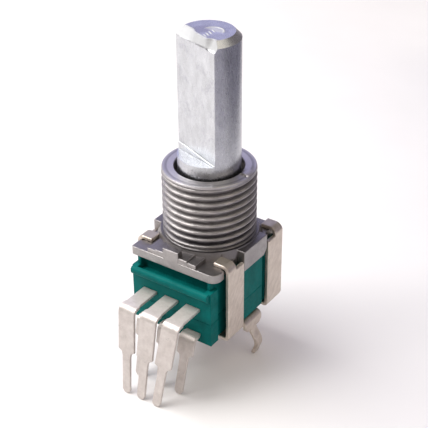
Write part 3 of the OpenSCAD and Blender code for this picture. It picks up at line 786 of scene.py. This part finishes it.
# Sheet metal and mouldings

def softened(node, name, material, width):
    """Copy of a CAD node with chamfered edges."""
    bm = clean_copy(node)
    soften(bm, width)
    new_piece(name, mesh_of(name, bm), "body", material, (node,), 28)


def hidden_pieces():
    """Materials of the CAD nodes inside, which carry over as they are."""
    materials = {
        "element_board": plain("laminate", (0.20, 0.10, 0.045), (0.27, 0.14, 0.065), 0.6),
        "resistive_track": plain("carbon_film", (0.012, 0.012, 0.013), (0.024, 0.024, 0.026), 0.5, scale=9),
        "collector_ring": plain("silver_film", (0.55, 0.55, 0.56), (0.66, 0.66, 0.66), 0.4,
                                metallic=1.0, scale=9),
        "rotor": plain("black_moulding", (0.02, 0.02, 0.021), (0.035, 0.035, 0.037), 0.45),
        "wiper": plain("spring_sheet", (0.60, 0.43, 0.20), (0.70, 0.53, 0.28), 0.3, metallic=1.0, scale=6)}
    for gang in ("upper", "lower"):
        for piece, material in materials.items():
            nodes[f"{gang}_{piece}"].material_slots[0].material = material


# Stage, light and camera

def stage():
    """Pale floor under the part, a disc whose rings widen outward."""
    rings, columns = 24, 64
    verts = []
    for i in range(rings + 1):
        r = 0.02 + FLOOR_R * (i / rings) ** 2
        for c in range(columns):
            a = 2 * math.pi * c / columns
            verts.append((r * math.cos(a), r * math.sin(a), FLOOR_Z - FLOOR_GAP))
    faces = ring_faces(rings + 1, columns, rising=True)
    faces.append(tuple(reversed(range(columns))))
    floor = link_object("floor", mesh_from("floor", verts, faces))
    s = matt("paper", 0.08, (0.87, 0.857, 0.850), (0.89, 0.877, 0.870))
    # a faint glow that only camera, glossy and transmission rays see
    glow = s.node("ShaderNodeEmission")
    glow.inputs["Strength"].default_value = 0.045
    path = s.node("ShaderNodeLightPath").outputs
    seen = s.math("MAXIMUM", s.math("MAXIMUM", path["Is Camera Ray"], path["Is Glossy Ray"]),
                  path["Is Transmission Ray"])
    s.link(s.mix(seen, (0, 0, 0), (1.0, 0.94, 0.91)), glow.inputs["Color"])
    add = s.node("ShaderNodeAddShader")
    s.link(s.bsdf.outputs[0], add.inputs[0])
    s.link(glow.outputs[0], add.inputs[1])
    s.link(add.outputs[0], s.out.inputs["Surface"])
    floor.data.materials.append(s.mat)


def card(name, centre, width, height, colour):
    """Upright grey card, unseen by the camera, that darkens the reflections on the part's far side."""
    lean = 0.15
    out = Vector((*centre, 0)).normalized()
    side = Vector((-out.y, out.x, 0)) * (width / 2)
    foot = Vector((*centre, FLOOR_Z))
    top = foot + Vector((0, 0, height)) + out * height * lean
    corners = [foot - side, foot + side, top + side, top - side]
    obj = link_object(name, mesh_from(name, corners, [(3, 2, 1, 0)]))
    obj.data.materials.append(matt(name + "_grey", 0.05, tuple(c * 0.95 for c in colour), colour).mat)
    obj.visible_camera = False
    obj.visible_shadow = False


def world():
    """Dim studio with a bluish window behind the part on the left and a warm lamp over its right."""
    studio = bpy.data.worlds.new("studio")
    bpy.context.scene.world = studio
    studio.use_nodes = True
    n = Nodes(studio.node_tree)
    out = n.node("ShaderNodeOutputWorld")
    back = n.node("ShaderNodeBackground")
    ray = n.node("ShaderNodeTexCoord").outputs["Generated"]

    def lobe(direction, stops):
        """Colours by the angle between the ray and a direction: position 0 is away from it, 1 along it."""
        dot = n.node("ShaderNodeVectorMath", operation="DOT_PRODUCT")
        n.link(ray, dot.inputs[0])
        dot.inputs[1].default_value = Vector(direction).normalized()
        return n.ramp(n.math("MULTIPLY_ADD", dot.outputs["Value"], 0.5, 0.5), stops)

    total = lobe((0, 0, 1), [(0.5, (0.140, 0.120, 0.115)), (0.62, (0.155, 0.136, 0.133)),
                             (0.8, (0.195, 0.172, 0.168)), (1.0, (0.36, 0.33, 0.325))])
    window = lobe((-0.60, 0.60, 0.52), [(0.66, (0, 0, 0)), (0.85, (0.12, 0.11, 0.12)),
                                        (0.93, (0.20, 0.20, 0.31)), (1.0, (0.56, 0.57, 0.98))])
    warm = lobe((0.62, -0.03, 0.78), [(0.90, (0, 0, 0)), (0.94, (0.30, 0.30, 0.25)),
                                      (0.98, (1.0, 0.93, 0.78))])
    for glow in (window, warm):
        total = n.mix(1.0, total, glow, "ADD")
    n.link(total, back.inputs["Color"])
    n.link(back.outputs[0], out.inputs["Surface"])


def lamp(name, place, target, size, power, colour):
    data = bpy.data.lights.new(name, "AREA")
    data.shape = "RECTANGLE"
    data.size = size * MM
    data.size_y = size * MM
    data.energy = power
    data.color = colour
    obj = link_object(name, data)
    obj.location = Vector(place) * MM
    obj.rotation_euler = (Vector(target) - Vector(place)).to_track_quat("-Z", "Y").to_euler()


def camera():
    az, el, roll = math.radians(AZIMUTH), math.radians(ELEVATION), math.radians(ROLL)
    back = Vector((math.sin(az) * math.cos(el), -math.cos(az) * math.cos(el), math.sin(el)))
    side = Vector((math.cos(az), math.sin(az), 0))
    up = back.cross(side)
    right = side * math.cos(roll) + up * math.sin(roll)
    top = up * math.cos(roll) - side * math.sin(roll)
    place = side * SHIFT + Vector((0, 0, RISE)) + back * DISTANCE
    data = bpy.data.cameras.new("camera")
    data.sensor_width = SENSOR
    data.lens = SENSOR * FOCAL_PX / PHOTO_PX
    data.clip_start = CLIP_START_M
    obj = link_object("camera", data)
    obj.matrix_world = Matrix.Translation(place * MM) @ Matrix((right, top, back)).transposed().to_4x4()
    bpy.context.scene.camera = obj


sheet = plated_sheet()
tin = tinned()
casting(zinc())
shaft(aluminium())
softened("mounting_bracket", "bracket_sheet", sheet, 0.07)
for gang in ("upper", "lower"):
    for place in ("left", "centre", "right"):
        softened(f"{gang}_terminal_{place}", f"{gang}_lead_{place}", tin, 0.04)
softened("upper_housing", "upper_moulding", green_plastic("green_moulding", 1.0), 0.05)
softened("lower_housing", "lower_moulding", green_plastic("green_moulding_lower", 0.93), 0.05)
hidden_pieces()

stage()
card("grey_card", (37, 28), 130, 48, (0.18, 0.175, 0.22))
card("side_card", (44.5, -18), 34, 26, (0.36, 0.35, 0.40))
world()
camera()
lamp("key", (-121, -52, 183), (0, 0, -5), 190, 0.60, (1.0, 0.995, 0.985))
lamp("edge", (-98, -104, 140), (0, 0, 0), 60, 0.04, (1.0, 0.97, 0.94))
bpy.context.scene.view_settings.view_transform = "Standard"
